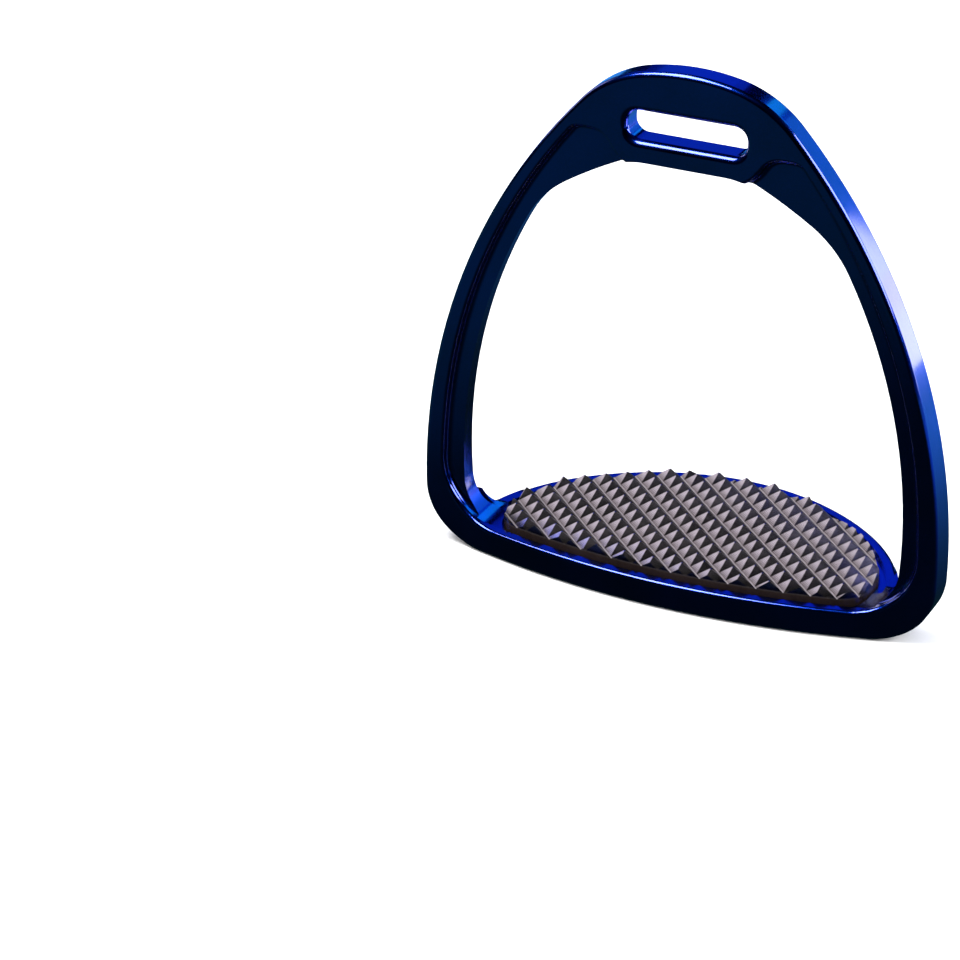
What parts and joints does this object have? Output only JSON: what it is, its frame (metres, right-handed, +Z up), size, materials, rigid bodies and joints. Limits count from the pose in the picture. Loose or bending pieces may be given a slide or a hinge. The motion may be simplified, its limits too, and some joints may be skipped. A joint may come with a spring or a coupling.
{
  "type": "stirrup iron",
  "caption": "One-piece stirrup iron: flat-faced bow with a leather slot, wide foot bed, toothed tread pad and an inlaid sheet under the bed.",
  "frame": {"origin": "middle of the underside of the foot bed, at the centre of the bounding box", "axes": "+Z up, +X across the foot opening, +Y towards the deep rear edge of the foot bed; the plane front face of the bow looks along -Y"},
  "size_m": [0.1402, 0.0644, 0.1397],
  "materials": {
    "anodised_body": "glossy deep blue anodised over machined aluminium",
    "toothed_pad": "bright machined teeth with a warm grey cast",
    "screws": "plain stainless steel",
    "adhesive_film": "thin pressure-sensitive film",
    "carbon_fibre": "2x2 twill carbon fibre under clear resin",
    "badge_metal": "brushed, plain"
  },
  "bodies": {
    "root": {"frame": "anodised_body", "tread_pad": "toothed_pad", "pad_screws": "screws", "inlay_adhesive": "adhesive_film", "carbon_inlay": "carbon_fibre", "badge": "badge_metal"}
  },
  "joints": []
}
